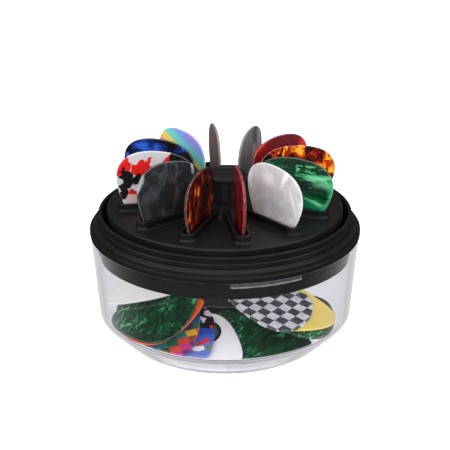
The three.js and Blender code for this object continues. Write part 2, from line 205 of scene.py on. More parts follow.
# -------- node materials
class Nodes:
    """A shader node tree, written step by step."""

    def __init__(self, tree):
        self.tree = tree
        tree.nodes.clear()

    def add(self, kind, inputs=None, **settings):
        node = self.tree.nodes.new("ShaderNode" + kind)
        for key, value in settings.items():
            setattr(node, key, value)
        for key, value in (inputs or {}).items():
            self.put(node.inputs[key], value)
        return node

    def put(self, socket, value):
        if isinstance(value, bpy.types.NodeSocket):
            self.tree.links.new(value, socket)
        elif socket.type == "RGBA" and len(value) == 3:
            socket.default_value = (*value, 1)
        else:
            socket.default_value = value

    def maths(self, operation, a, b=0.0, clamp=False):
        node = self.add("Math", operation=operation, use_clamp=clamp)
        self.put(node.inputs[0], a)
        self.put(node.inputs[1], b)
        return node.outputs[0]

    def plus(self, a, b, clamp=False):
        return self.maths("ADD", a, b, clamp)

    def minus(self, a, b):
        return self.maths("SUBTRACT", a, b)

    def times(self, a, b):
        return self.maths("MULTIPLY", a, b)

    def vector(self, operation, a, b=(0, 0, 0)):
        node = self.add("VectorMath", operation=operation)
        self.put(node.inputs[0], a)
        if operation == "SCALE":
            self.put(node.inputs["Scale"], b)
        else:
            self.put(node.inputs[1], b)
        scalar = operation in ("LENGTH", "DISTANCE", "DOT_PRODUCT")
        return node.outputs["Value" if scalar else "Vector"]

    def object_mm(self):
        """Position on the object, in millimetres."""
        return self.vector("SCALE", self.add("TexCoord").outputs["Object"], 1000.0)

    def radius_and_height(self):
        """Distance from the Z axis and height, in millimetres."""
        where = self.object_mm()
        return self.vector("LENGTH", self.flat(where)), self.parts(where)["Z"]

    def pick_mm(self):
        """Position on a pick in millimetres: across it, up to 0 at its top edge, and through it."""
        return self.add("Attribute", attribute_name="pick").outputs["Vector"]

    def flat(self, where):
        """where, with its third part 0."""
        return self.vector("MULTIPLY", where, (1, 1, 0))

    def parts(self, where):
        return self.add("SeparateXYZ", {"Vector": where}).outputs

    def turned(self, where, degrees):
        angle = math.radians(degrees)
        return self.add("VectorRotate", {"Vector": where, "Angle": angle}).outputs[0]

    def noise(self, where, scale, detail=2.0, roughness=0.5, distortion=0.0, colour=False):
        node = self.add("TexNoise", {
            "Vector": where, "Scale": scale, "Detail": detail,
            "Roughness": roughness, "Distortion": distortion,
        })
        return node.outputs["Color" if colour else "Fac"]

    def bounces(self):
        """How often a ray has bounced off matt and glossy surfaces."""
        path = self.add("LightPath").outputs
        return self.plus(path["Diffuse Depth"], path["Glossy Depth"])

    def warped(self, where, scale, amount):
        """where, pushed about by soft noise."""
        push = self.vector("SUBTRACT", self.noise(where, scale, 2.0, colour=True), (0.5, 0.5, 0.5))
        return self.vector("ADD", where, self.vector("SCALE", push, amount))

    def ramp(self, fac, stops, interpolation="LINEAR"):
        """stops: (position, grey level or colour)."""
        node = self.add("ValToRGB", {"Fac": fac})
        node.color_ramp.interpolation = interpolation
        elements = node.color_ramp.elements
        while len(elements) > 1:
            elements.remove(elements[-1])
        for i, (position, value) in enumerate(stops):
            element = elements[0] if i == 0 else elements.new(position)
            element.position = position
            grey = isinstance(value, (int, float))
            element.color = (value, value, value, 1) if grey else (*value, 1)
        return node.outputs["Color"]

    def spot(self, where, centre, size, turn, soft):
        """1 inside an ellipse of a given centre, half sizes and turn in degrees, 0 outside it."""
        offset = self.vector("SUBTRACT", self.flat(where), (*centre, 0))
        spread = self.vector("MULTIPLY", self.turned(offset, -turn), (1 / size[0], 1 / size[1], 0))
        away = self.times(self.vector("LENGTH", spread), 0.5)
        return self.ramp(away, [(0.5 * (1 - soft), 1.0), (0.5 * (1 + soft), 0.0)])

    def mix(self, fac, a, b, blend="MIX"):
        node = self.add("Mix", data_type="RGBA", blend_type=blend)
        self.put(node.inputs["Factor"], fac)
        self.put(node.inputs["A"], a)
        self.put(node.inputs["B"], b)
        return node.outputs["Result"]

    def bump(self, height, distance, strength, normal=None):
        """distance is in millimetres."""
        inputs = {"Height": height, "Distance": distance * MM, "Strength": strength}
        if normal is not None:
            inputs["Normal"] = normal
        return self.add("Bump", inputs).outputs["Normal"]

    def principled(self, **inputs):
        named = {key.replace("_", " "): value for key, value in inputs.items()}
        return self.add("BsdfPrincipled", named).outputs["BSDF"]


class Shader(Nodes):
    """A node material."""

    def __init__(self, name):
        self.material = bpy.data.materials.new(name)
        self.material.use_nodes = True
        super().__init__(self.material.node_tree)
        self.output = self.add("OutputMaterial")

    def finish(self, surface):
        self.tree.links.new(surface, self.output.inputs["Surface"])
        return self.material


def srgb(r, g, b):
    """A colour given as 0 to 255 display values."""
    return tuple(
        c / 255 / 12.92 if c <= 10.3 else ((c / 255 + 0.055) / 1.055) ** 2.4 for c in (r, g, b)
    )


# The band of coarser grain round the lid.
RIDGE = {"inner": 42.0, "low": 38.05, "high": 40.1}


def black_plastic():
    """Moulded black plastic: faint flow marks and a fine grain, coarser on the lid's ridge."""
    s = Shader("black_plastic")
    where = s.object_mm()
    fine = s.noise(where, 5.5, 2.0, 0.6)
    broad = s.noise(s.warped(where, 0.05, 6.0), 0.09, 3.0)
    colour = s.ramp(broad, [(0.3, (0.003, 0.003, 0.0034)), (0.7, (0.005, 0.0048, 0.0052))])
    colour = s.mix(s.ramp(fine, [(0.35, 0.0), (0.7, 0.3)]), colour, (0.012, 0.012, 0.013))
    roughness = s.ramp(broad, [(0.25, 0.36), (0.75, 0.46)])
    roughness = s.plus(roughness, s.ramp(fine, [(0.3, 0.0), (0.8, 0.12)]))
    radius, height = s.radius_and_height()
    coarse = s.times(s.noise(where, 2.4, 2.0, 0.7), s.maths("GREATER_THAN", radius, RIDGE["inner"]))
    coarse = s.times(coarse, s.maths("GREATER_THAN", height, RIDGE["low"]))
    coarse = s.times(coarse, s.maths("LESS_THAN", height, RIDGE["high"]))
    normal = s.bump(fine, 0.05, 0.5)
    normal = s.bump(coarse, 0.12, 0.5, normal)
    normal = s.bump(broad, 0.25, 0.3, normal)
    return s.finish(s.principled(
        Base_Color=colour, Roughness=roughness, Normal=normal, Specular_IOR_Level=0.38,
    ))


LUGS = {
    "azimuths": (17.5, 137.5, 257.5), "span": 31, "low": 34.0, "high": 35.5,
    "radius": 42.15, "low_radius": 42.48,
}
# How frosted the face of a lug is, from its lower edge to its upper edge: partly a moulded
# frosting, partly painted glints, strongest at the lower edge and raised again near the upper edge.
LUG_FROST_AND_GLINTS = [(0.0, 0.42), (0.22, 0.42), (0.34, 0.14), (0.75, 0.16), (0.95, 0.26)]
LIPS = {"azimuths": (44, 164, 284), "span": 12, "low": 32.4, "high": 33.5, "radius": 42.4}


def clear_plastic():
    """Clear moulded styrene, faintly violet, frosted on the lugs in streaks that are partly painted
    glints. Lamps light what it holds.
    """
    s = Shader("clear_plastic")
    where = s.object_mm()
    flow = s.noise(s.warped(where, 0.04, 8.0), 0.07, 2.0)
    scuff = s.noise(s.vector("MULTIPLY", where, (1, 1, 0.25)), 1.6, 4.0, 0.7)
    tint = s.ramp(flow, [(0.3, (0.975, 0.97, 0.99)), (0.7, (0.99, 0.985, 1.0))])
    normal = s.bump(scuff, 0.004, 0.2, s.bump(flow, 0.12, 0.35))
    glass = s.principled(
        Base_Color=tint, Roughness=0.0, Normal=normal, IOR=1.5, Transmission_Weight=1.0,
    )
    # A matt white face for the lugs: partly moulded frosting, partly a painted reflection of the
    # lamps.
    frosted = s.principled(Base_Color=(0.8, 0.8, 0.83), Roughness=0.4, Normal=normal)
    radius, height = s.radius_and_height()
    on_lug = s.maths("LESS_THAN", radius, LUGS["low_radius"] + 0.1)
    on_lug = s.times(on_lug, s.maths("GREATER_THAN", height, LUGS["low"] - 0.1))
    up_lug = s.maths("DIVIDE", s.minus(height, LUGS["low"]), LUGS["high"] - LUGS["low"])
    # Painted glints: the frosting on the lugs comes and goes in streaks along them, standing in for
    # glints of light.
    streaks = s.noise(s.vector("MULTIPLY", where, (0.2, 0.2, 2.2)), 1.3, 3.0, 0.7)
    streaks = s.ramp(streaks, [(0.4, 0.6), (0.65, 1.0)])
    frost_and_glints = s.times(s.times(s.ramp(up_lug, LUG_FROST_AND_GLINTS), streaks), on_lug)
    glass = s.add("MixShader", {0: frost_and_glints, 1: glass, 2: frosted}).outputs[0]
    clear = s.add("BsdfTransparent", {"Color": (0.99, 0.985, 1.0)}).outputs[0]
    shadow = s.add("LightPath").outputs["Is Shadow Ray"]
    lets_through = s.plus(shadow, s.bounces(), clamp=True)
    thick = s.add("VolumeAbsorption", {"Color": (0.79, 0.78, 0.88), "Density": 80.0}).outputs[0]
    s.tree.links.new(thick, s.output.inputs["Volume"])
    return s.finish(s.add("MixShader", {0: lets_through, 1: glass, 2: clear}).outputs[0])


def nylon():
    s = Shader("nylon")
    grain = s.noise(s.object_mm(), 3.0, 3.0)
    colour = s.ramp(grain, [(0.3, (0.72, 0.7, 0.63)), (0.7, (0.82, 0.8, 0.75))])
    normal = s.bump(grain, 0.05, 0.4)
    return s.finish(s.principled(Base_Color=colour, Roughness=0.45, Normal=normal))


def steel():
    s = Shader("steel")
    brushed = s.noise(s.vector("MULTIPLY", s.object_mm(), (1, 12, 12)), 1.4, 3.0, 0.7)
    colour = s.ramp(brushed, [(0.3, (0.52, 0.53, 0.56)), (0.7, (0.68, 0.69, 0.71))])
    roughness = s.ramp(brushed, [(0.3, 0.22), (0.7, 0.4)])
    normal = s.bump(brushed, 0.02, 0.4)
    return s.finish(s.principled(
        Base_Color=colour, Metallic=1.0, Roughness=roughness, Normal=normal,
    ))


# -------- tub
def with_block_edges(azimuths, blocks):
    """Adds the azimuths at which the moulded blocks start and end."""
    ease = 0.25
    extra = []
    for centre in blocks["azimuths"]:
        for side in (-1, 1):
            edge = centre + side * blocks["span"] / 2
            extra += [edge - ease, edge + ease]
    return sorted({round(a % 360, 4) for a in [*azimuths, *extra]})


def on_block(azimuth, blocks):
    for centre in blocks["azimuths"]:
        if abs((azimuth - centre + 180) % 360 - 180) < blocks["span"] / 2:
            return True
    return False


def block_rows(outline, blocks, inner, outer):
    """Which points of an outline, between two radii, carry the moulded blocks."""
    low = blocks["low"] - 0.01
    high = blocks["high"] + 0.01
    return {i for i, (r, z) in enumerate(outline) if inner < r < outer and low <= z <= high}


def make_tub():
    outline = fillet([
        # recess, foot, chamfer, rim
        (0, 0.6, 0), (30.8, 0.6, 0.3), (31.4, 0.0, 0.3), (35.0, 0.0, 0.4),
        (42.8, 8.0, 1.2), (44.85, 36.2, 0.12), (42.95, 36.2, 0.12),
        # inside, with the lugs' upper and lower edges
        (42.85, LUGS["high"] + 0.05, 0), (42.85, LUGS["high"], 0),
        (42.76, LUGS["low"], 0), (42.76, LUGS["low"] - 0.05, 0),
        (40.9, 8.6, 1.2), (34.4, 2.0, 0.9), (0, 2.0, 0),
    ], 5)
    lug_rows = block_rows(outline, LUGS, 42, 42.9)

    def radius_at(index, azimuth):
        if index not in lug_rows or not on_block(azimuth, LUGS):
            return None
        return LUGS["radius"] if outline[index][1] > LUGS["high"] - 0.1 else LUGS["low_radius"]

    azimuths = with_block_edges(even_azimuths("large"), LUGS)
    turned_part("tub_clear", "tub", "tub", clear_plastic(), outline, azimuths, 50, radius_at)


# -------- lid
def make_lid(material):
    skirt = 41.9
    outline = fillet([
        # skirt, with the lips' lower and upper edges
        (0, 29.8, 0), (skirt, 29.8, 0.5),
        (skirt, LIPS["low"] - 0.05, 0), (skirt, LIPS["low"], 0),
        (skirt, LIPS["high"], 0), (skirt, LIPS["high"] + 0.05, 0),
        # underside of the flange
        (skirt, 36.5, 0.2), (43.0, 36.5, 0), (43.2, 36.3, 0), (45.07, 36.3, 0.15),
        # flange, ridge and raised lip
        (45.07, 38.0, 0.3), (44.2, 38.0, 0.15), (44.1, 39.15, 0.35), (43.0, 39.9, 0.9),
        (41.8, 40.1, 0.3), (41.75, 40.55, 0.2), (42.3, 40.85, 0.15), (42.3, 41.05, 0.12),
        (42.07, 41.3, 0.2), (42.07, 43.45, 0.3),
        # well, deck and centre boss
        (40.8, 43.45, 0.35), (40.4, 31.2, 0.4), (4.0, 31.2, 0.3), (4.0, 45.3, 0.2),
        (1.75, 45.3, 0.15), (1.75, 36.0, 0), (0, 36.0, 0),
    ], 5)
    lip_rows = block_rows(outline, LIPS, skirt - 0.01, skirt + 0.01)

    def radius_at(index, azimuth):
        return LIPS["radius"] if index in lip_rows and on_block(azimuth, LIPS) else None

    azimuths = with_block_edges(even_azimuths("large"), LIPS)
    turned_part("lid_black", "lid", "lid", material, outline, azimuths, 50, radius_at)


# -------- picks' outline
PICK = {"width": 26, "length": 30.5, "widest": 8.8, "thickness": 0.8, "edge": 0.3, "polish": 0.03}
# How far the outline's curves keep to its flat top, sides and tip, as shares of its size.
PULLS = {"top": 0.6, "shoulder": 0.3, "side": 0.22, "tip": 0.2}
SLOT_CENTRE = 23.86
SLOT_PITCH = 30
SLOT_AZIMUTHS = [9.55 + SLOT_PITCH * i for i in range(12)]


def bezier(a, b, c, d, steps):
    for i in range(steps):
        t = i / steps
        yield tuple(
            (1 - t) ** 3 * p + 3 * (1 - t) ** 2 * t * q + 3 * (1 - t) * t * t * r + t**3 * s
            for p, q, r, s in zip(a, b, c, d)
        )


def pick_outline(grow, steps):
    """Points round a pick, tip down, with its top edge at y = 0 when grow is 0."""
    half = PICK["width"] / 2 + grow
    top = grow
    tip = -PICK["length"] - grow
    widest = -PICK["widest"]
    side = widest - PICK["length"] * PULLS["side"]
    crown = half * PULLS["top"]
    shoulder = widest * PULLS["shoulder"]
    right = list(bezier((0, top), (crown, top), (half, shoulder), (half, widest), steps))
    right += list(bezier((half, widest), (half, side), (half * PULLS["tip"], tip), (0, tip), steps))
    return right + [(0.0, tip)] + [(-x, y) for x, y in reversed(right[1:])]


def pick_frame(node, outside):
    """Centre, across, up and out axes of a CAD pick. outside: the way its out axis should lean."""
    points = np.array([tuple(v.co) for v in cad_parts[node].data.vertices])
    points = np.unique(points.round(6), axis=0)
    middle = points.mean(0)
    offsets = points - middle
    axes = np.linalg.svd(offsets)[2]
    normal, across, along = axes[np.argsort(np.ptp(offsets @ axes.T, axis=0))]
    heights = offsets @ along
    widths = offsets @ across
    centre_height = (heights.max() + heights.min()) / 2
    limit = np.ptp(heights) * 0.3
    width_up = np.ptp(widths[heights > centre_height + limit])
    width_down = np.ptp(widths[heights < centre_height - limit])
    if width_up < width_down:
        along = -along
    if normal @ np.array(outside) < 0:
        normal = -normal
    across = np.cross(along, normal)
    centre = middle.copy()
    for axis in (normal, across, along):
        spread = offsets @ axis
        centre += axis * (spread.max() + spread.min()) / 2
    return Vector(centre), Vector(across), Vector(along), Vector(normal)


def box_centre(node):
    low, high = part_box(node)
    return (low + high) / 2


def display_nodes():
    """The upright picks, in the order of their slots."""
    def azimuth(node):
        centre = box_centre(node)
        return math.degrees(math.atan2(centre.x, -centre.y)) % 360

    return sorted((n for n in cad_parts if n.startswith("display_pick_")), key=azimuth)


def standing_outline(grow, node, azimuth):
    """A display pick's grown outline in its slot's plane, as (distance from the axis, height)."""
    outwards = Vector(azimuth_point(1, azimuth, 0))
    centre, _, up, _ = pick_frame(node, outwards)
    tilt = math.atan2(-up.dot(outwards), up.z)
    lift = PICK["length"] / 2
    return [
        (
            SLOT_CENTRE + x * math.cos(tilt) - (y + lift) * math.sin(tilt),
            centre.z / MM + x * math.sin(tilt) + (y + lift) * math.cos(tilt),
        )
        for x, y in pick_outline(grow, steps=48)
    ]


def reach_at(outline, z):
    """Nearest and furthest distance of a closed outline at a height."""
    crossings = []
    for (x0, z0), (x1, z1) in zip(outline, outline[1:] + outline[:1]):
        if (z0 - z) * (z1 - z) <= 0 and z0 != z1:
            crossings.append(x0 + (x1 - x0) * (z - z0) / (z1 - z0))
    return min(crossings), max(crossings)


# -------- carousel
DISC_TOP = 45.0
COLLAR = {
    "half": 2.6, "start": 1.5, "end": 35.6, "high": 47.5, "flare": 0.85, "edge": 0.3, "valley": 1.3,
}
SHEATH = {"grow": 1.3, "half": 2.5}
SLOT = {"grow": 0.3, "half": 1.5}


def stadium(x_low, x_high, half, z, steps, square=0.0):
    """A ring along +X at height z. Its ends are half-round, or blunter the more square they are."""
    ring = []
    reach = half * (1 - square)
    for centre, first in ((x_high - reach, -90), (x_low + reach, 90)):
        for k in range(steps + 1):
            a = math.radians(first + 180 * k / steps)
            ring.append((centre + reach * math.cos(a), half * math.sin(a), z))
    return ring


def turned_to(obj, azimuth):
    obj.data.transform(Matrix.Rotation(math.radians(azimuth - 90), 4, "Z"))
    return obj


def collar_levels():
    """(outset, height) up the side of a collar: flared foot, straight wall, rounded top edge."""
    flare = COLLAR["flare"]
    edge = COLLAR["edge"]
    levels = [(flare, DISC_TOP - 0.8)]
    for k in range(7):
        a = math.radians(90 * k / 6)
        levels.append((flare * (1 - math.sin(a)), DISC_TOP + flare * (1 - math.cos(a)) - 0.02))
    for k in range(5):
        a = math.radians(90 * k / 4)
        levels.append((-edge * (1 - math.cos(a)), COLLAR["high"] - edge + edge * math.sin(a)))
    return levels


def collar(azimuth):
    rings = [
        stadium(COLLAR["start"], COLLAR["end"] + out, COLLAR["half"] + out, z, 16)
        for out, z in collar_levels()
    ]
    return turned_to(rings_to_mesh("collar", rings), azimuth)


def valley(azimuth):
    """Fills the sharp corner between two collars near the hub with a rounded web."""
    rings = []
    web_start = 7.5
    web_half = 0.6
    half_angle = math.radians(SLOT_PITCH / 2)
    for out, z in collar_levels():
        radius = COLLAR["valley"] - out * 0.6
        distance = (COLLAR["half"] + out + radius) / math.sin(half_angle)
        ring = [(web_start, -web_half, z)]
        for k in range(13):
            a = math.radians(180) + (math.pi / 2 - half_angle) * (1 - 2 * k / 12)
            ring.append((distance + radius * math.cos(a), radius * math.sin(a), z))
        ring.append((web_start, web_half, z))
        rings.append(ring)
    return turned_to(rings_to_mesh("valley", rings), azimuth)


def slot_solid(outline, half, high, lead_in):
    """An upright plate with a standing outline and rounded ends, from its tip up to a height."""
    low = min(z for _, z in outline) + 0.15
    levels = [(0.0, low + (high - low) * (k / 14) ** 1.6) for k in range(15)]
    rings = []
    for out, z in [*levels, *lead_in]:
        near, far = reach_at(outline, z)
        middle = (near + far) / 2
        reach = max((far - near) / 2, half * 1.05) + out
        rings.append(stadium(middle - reach, middle + reach, half + out, z, 8, 0.35))
    return rings_to_mesh("slot", rings)


def join(objects):
    """One object made of the shells of several, which are used up."""
    points = []
    faces = []
    for obj in objects:
        start = len(points)
        points += [tuple(c / MM for c in v.co) for v in obj.data.vertices]
        faces += [tuple(start + i for i in p.vertices) for p in obj.data.polygons]
        bpy.data.objects.remove(obj)
    return mesh_object("joined", points, faces)


COLUMN = {"radius": 5.7, "groove": 5.0, "rib": 0.7, "half_angle": 17.5, "shoulder_angle": 5}
BOSS_BORE = 4.3
SCREW_BORE = 1.9
CAP_BORE = 3.7
SHELF = {"low": 46.5, "high": 48.0}


def column_radius(azimuth):
    """Six broad ribs with soft shoulders round the centre column."""
    phase = abs(((azimuth - 30) % 60 + 30) % 60 - 30)
    ease = min(max((COLUMN["half_angle"] - phase) / COLUMN["shoulder_angle"], 0), 1)
    return COLUMN["groove"] + COLUMN["rib"] * ease * ease * (3 - 2 * ease)


def make_column():
    outline = fillet([
        (BOSS_BORE, 32.7, 0), (6.2, 32.7, 0.4), (6.2, 43.2, 0), (COLUMN["radius"], 43.2, 0),
        (COLUMN["radius"], 53.9, 0.35), (CAP_BORE, 53.9, 0.15), (CAP_BORE, SHELF["high"], 0),
        (SCREW_BORE, SHELF["high"], 0), (SCREW_BORE, SHELF["low"], 0), (BOSS_BORE, SHELF["low"], 0),
    ], 4)
    ribbed = {i for i, (r, z) in enumerate(outline) if r > 5.2 and z > 44}

    def radius_at(index, azimuth):
        if index not in ribbed:
            return None
        return column_radius(azimuth) - (COLUMN["radius"] - outline[index][0])

    return lathe("column", outline, even_azimuths("column"), radius_at)


def make_carousel(material):
    disc = lathe("carousel_black", fillet([
        (BOSS_BORE, 43.4, 0), (37.6, 43.4, 0.4), (37.6, 41.6, 0.25), (39.2, 41.6, 0.25),
        (39.2, DISC_TOP, 0.65), (BOSS_BORE, DISC_TOP, 0),
    ], 5), even_azimuths("large"))
    outward(disc)
    slots = list(zip(display_nodes(), SLOT_AZIMUTHS))

    def slot_solids(size, high, lead_in=()):
        solids = []
        for node, azimuth in slots:
            outline = standing_outline(size["grow"], node, azimuth)
            solids.append(turned_to(slot_solid(outline, size["half"], high, lead_in), azimuth))
        return join(solids)

    collars = [collar(a) for a in SLOT_AZIMUTHS]
    valleys = [valley(a + SLOT_PITCH / 2) for a in SLOT_AZIMUTHS]
    for part in [make_column(), *collars, *valleys, slot_solids(SHEATH, DISC_TOP - 0.6)]:
        boolean(disc, part, "UNION")
    high = COLLAR["high"]
    lead_in = [(0.0, high - 0.35), (0.12, high - 0.12), (0.35, high + 0.1)]
    boolean(disc, slot_solids(SLOT, high - 1.0, lead_in), "DIFFERENCE")
    low = SHELF["low"] - 0.1
    for bore in (
        [(0, 31.2), (BOSS_BORE, 31.2), (BOSS_BORE, SHELF["low"]), (0, SHELF["low"])],
        [(0, low), (SCREW_BORE, low), (SCREW_BORE, SHELF["high"]), (CAP_BORE, SHELF["high"]),
         (CAP_BORE, 54.5), (0, 54.5)],
    ):
        boolean(disc, lathe("bore", bore, even_azimuths("bore")), "DIFFERENCE")
    smooth(disc, 38)
    stand_in(disc, "carousel", "carousel", material)


def make_cap(material):
    outline = fillet([
        (0, 51.0, 0), (3.4, 51.0, 0.2), (3.4, 54.2, 0.1), (6.9, 54.2, 0.25), (6.9, 55.2, 0.35),
        (6.2, 56.1, 0.4), (5.3, 56.1, 0.35), (4.5, 55.65, 0.4), (0, 55.65, 0),
    ], 5)
    turned_part("hub_cap_black", "hub_cap", "carousel", material, outline, even_azimuths("cap"), 45)


# -------- pivot hardware
def make_washer(name, node, body, inner, outer, material):
    low, high = (c.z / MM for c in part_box(node))
    middle = (low + high) / 2
    outline = fillet([
        (inner, middle, 0), (inner, low, 0.12), (outer, low, 0.12), (outer, high, 0.12),
        (inner, high, 0.12), (inner, middle + 0.01, 0),
    ], 3)
    turned_part(name, node, body, material, outline, even_azimuths("hardware"), 45)


def make_screw(material):
    """Pan-head screw with a cross recess."""
    screw = lathe("pivot_screw_steel", fillet([
        (0, 37.5, 0), (0.6, 37.5, 0.1), (1.5, 38.7, 0.3), (1.5, 48.9, 0.1), (3.0, 48.9, 0.2),
        (3.0, 49.65, 0.5), (2.2, 50.4, 0.5), (1.2, 50.55, 0.2), (0, 50.55, 0),
    ], 4), even_azimuths("hardware"))
    outward(screw)
    recess = [(-1.4, -0.3), (1.4, -0.3), (1.4, 0.3), (-1.4, 0.3)]
    for turn in (45, 135):
        blade = rings_to_mesh("blade", [[(x, y, z) for x, y in recess] for z in (49.65, 50.9)])
        blade.data.transform(Matrix.Rotation(math.radians(turn), 4, "Z"))
        boolean(screw, blade, "DIFFERENCE")
    smooth(screw, 40)
    stand_in(screw, "pivot_screw", "lid", material)


# -------- picks
def make_pick(name, node, body, material, outside):
    centre, across, along, normal = pick_frame(node, outside)
    half = PICK["thickness"] / 2
    edge = PICK["edge"]
    sections = []
    for k in range(5):
        a = math.radians(90 * k / 4)
        sections.append((-edge * (1 - math.sin(a)), -half + edge * (1 - math.cos(a))))
    levels = sections + [(inset, -z) for inset, z in reversed(sections)]
    levels = [(-edge * 4, -half)] + levels + [(-edge * 4, half)]
    rings = []
    flat = []
    for inset, z in levels:
        ring = [(x, y, z) for x, y in pick_outline(inset - PICK["polish"], steps=20)]
        rings.append(ring)
        flat += ring
    obj = rings_to_mesh(name, rings)
    attribute = obj.data.attributes.new("pick", "FLOAT_VECTOR", "POINT")
    attribute.data.foreach_set("vector", [c for p in flat for c in p])
    lift = PICK["length"] / 2
    place = Matrix((across, along, normal)).transposed().to_4x4()
    place.translation = centre
    obj.data.transform(place @ Matrix.Translation((0, lift * MM, 0)))
    smooth(obj, 60)
    stand_in(obj, node, body, material)


# Painted highlight: how far the rounded rim of a pick is mixed towards a pale colour, where light
# gathers.
RIM_PAINTED_HIGHLIGHT = 0.15


def gloss(name, look, colours, *values):
    """Polished plastic, with a painted highlight that makes the rounded rim paler, where light
    gathers.

    look gives a colour, a roughness and, for pearloid, a normal.
    """
    s = Shader(name)
    colour, roughness, *normal = look(s, *(srgb(*c) for c in colours), *values)
    scratches = s.noise(s.vector("MULTIPLY", s.pick_mm(), (1, 0.35, 1)), 2.6, 4.0, 0.7)
    rough = s.plus(roughness, s.ramp(scratches, [(0.5, 0.0), (0.75, 0.12)]))
    normal = normal[0] if normal else s.bump(scratches, 0.02, 0.25)
    depth = s.maths("ABSOLUTE", s.parts(s.pick_mm())["Z"])
    # Painted highlight: the rounded rim is mixed towards a pale colour.
    rim = s.ramp(depth, [(0.24, 0.02), (0.31, RIM_PAINTED_HIGHLIGHT), (0.37, RIM_PAINTED_HIGHLIGHT), (0.39, 0.0)])
    return s.finish(s.principled(
        Base_Color=s.mix(rim, colour, srgb(236, 232, 232)), Roughness=rough, Normal=normal,
        Specular_IOR_Level=0.28, Coat_Weight=0.25, Coat_Roughness=0.06,
    ))


def with_marks(s, colour, marks):
    """colour with soft marks of (display colour, strength, centre, half sizes, turn)."""
    loose = s.warped(s.pick_mm(), 0.3, 2.0)
    for mark, strength, centre, size, turn in marks:
        amount = s.times(s.spot(loose, centre, size, turn, 0.6), strength)
        colour = s.mix(amount, colour, srgb(*mark))
    return colour


def folded(s, where, scale, stretch, seed):
    """Grey level of pearloid: folded bright streaks in a deeper ground."""
    where = s.vector("ADD", s.vector("MULTIPLY", where, stretch), (seed, seed * 0.37, seed * 1.7))
    folds = s.noise(s.warped(where, 0.12, 7.0), scale, 4.0, 0.62, 1.6)
    fine = s.noise(s.warped(where, 0.3, 3.0), scale * 3.2, 3.0, 0.6, 2.2)
    return s.plus(s.times(folds, 0.72), s.times(fine, 0.28))


def pearl(s, dark, mid, light, scale, stretch, seed, contrast, marks):
    """Pearloid."""
    level = folded(s, s.pick_mm(), scale, stretch, seed)
    low = 0.5 - 0.09 * contrast
    high = 0.5 + 0.16 * contrast
    stops = [(low - 0.05, dark), ((low + high) / 2, mid), (high, light), (high + 0.06, mid)]
    return with_marks(s, s.ramp(level, stops), marks), 0.18, s.bump(level, 0.12, 0.15)


def streaked(s, ground, streak, light, slant, seed, fineness, marks=()):
    """Deep pearloid with thin bright slanting glints, as in green and red celluloid."""
    turned = s.turned(s.pick_mm(), slant)
    level = folded(s, turned, 0.12 * fineness, (0.55, 1.5, 1), seed)
    glints = folded(s, turned, 0.3 * fineness, (0.5, 1.6, 1), seed + 7.0)
    field = s.noise(s.pick_mm(), 0.1 * fineness, 2.0, 0.5)
    colour = s.ramp(level, [(0.42, ground), (0.53, streak), (0.6, ground)])
    shine = s.ramp(glints, [(0.53, 0.0), (0.62, 1.0)])
    shine = s.times(shine, s.ramp(field, [(0.42, 0.0), (0.56, 1.0)]))
    colour = s.mix(shine, colour, light)
    return with_marks(s, colour, marks), 0.15, s.bump(level, 0.1, 0.12)


def shell(s, ground, brown, amber, gold, scale, seed, amount, flames):
    """Tortoiseshell. flames: (strength, centre, half sizes, turn) of more or less amber spots."""
    local = s.pick_mm()
    where = s.vector("ADD", s.vector("MULTIPLY", local, (1, 0.62, 1)), (seed, -seed, seed * 0.6))
    level = s.noise(s.warped(where, 0.16, 6.0), scale, 5.0, 0.66, 1.1)
    loose = s.warped(local, 0.4, 1.5)
    for strength, centre, size, turn in flames:
        level = s.plus(level, s.times(s.spot(loose, centre, size, turn, 0.8), strength))
    start = 0.62 - 0.22 * amount
    stops = [
        (start - 0.04, ground), (start + 0.03, brown), (start + 0.09, amber), (start + 0.15, gold),
    ]
    return s.ramp(level, stops), 0.14


def ragged_spots(s, spots):
    """One mask from several hard-edged ragged spots of (centre, half sizes, turn)."""
    where = s.warped(s.warped(s.pick_mm(), 0.16, 9.0), 0.6, 2.7)
    mask = 0.0
    for centre, size, turn in spots:
        mask = s.maths("MAXIMUM", mask, s.spot(where, centre, size, turn, 0.04))
    return mask


# (display colour, ragged spots).
CAMO_PATCHES = [
    ((214, 176, 176), [((-6.5, -16.5), (4.5, 2.6), 10), ((8, -20), (3, 2), 0)]),
    ((212, 34, 28), [
        ((-12.2, -6.5), (2.8, 3.6), 0), ((-5.8, -5.6), (3.4, 2.4), 25),
        ((-3, -3.4), (2.2, 0.8), 50), ((5, -2.2), (2.6, 1), 40),
        ((-6.8, -15.2), (2, 1), 40), ((4, -13), (3.5, 2), -30),
    ]),
    ((26, 23, 25), [
        ((-9.4, -10.6), (2.6, 3.4), 10), ((-5, -9.6), (2.2, 2.2), 0),
        ((-10.4, -15.4), (1.6, 2.4), 30), ((8.4, -2.6), (4.2, 2.4), -20),
        ((9, -14), (3, 4), 20), ((0, -20), (3, 2.4), 0),
    ]),
]


def camo(s):
    """White with ragged patches of pink, red and black. The white ground is painted grey, as
    painted shade on a pick turned away from the lamps.
    """
    # Painted shade: the white ground is laid down light grey.
    colour = s.mix(s.noise(s.pick_mm(), 0.3, 3.0), srgb(192, 191, 193), srgb(206, 205, 207))
    for patch, spots in CAMO_PATCHES:
        colour = s.mix(ragged_spots(s, spots), colour, srgb(*patch))
    return colour, 0.2


BAND_LOW = -31.0
BAND_SPAN = 36.0
RAINBOW_BANDS = [
    (-31, (238, 200, 90)), (-28, (90, 200, 200)), (-24, (135, 155, 220)),
    (-20, (175, 120, 205)), (-17, (235, 150, 175)), (-14, (238, 205, 95)),
    (-11.4, (236, 196, 110)), (-9.6, (236, 150, 170)), (-8.4, (236, 150, 150)),
    (-7.6, (236, 206, 74)), (-5.7, (232, 206, 84)), (-5.0, (120, 208, 196)),
    (-2.4, (112, 204, 206)), (-1.6, (132, 160, 222)), (0.7, (136, 152, 220)),
    (1.3, (176, 124, 214)), (2.6, (168, 118, 214)), (3.6, (96, 130, 206)),
]


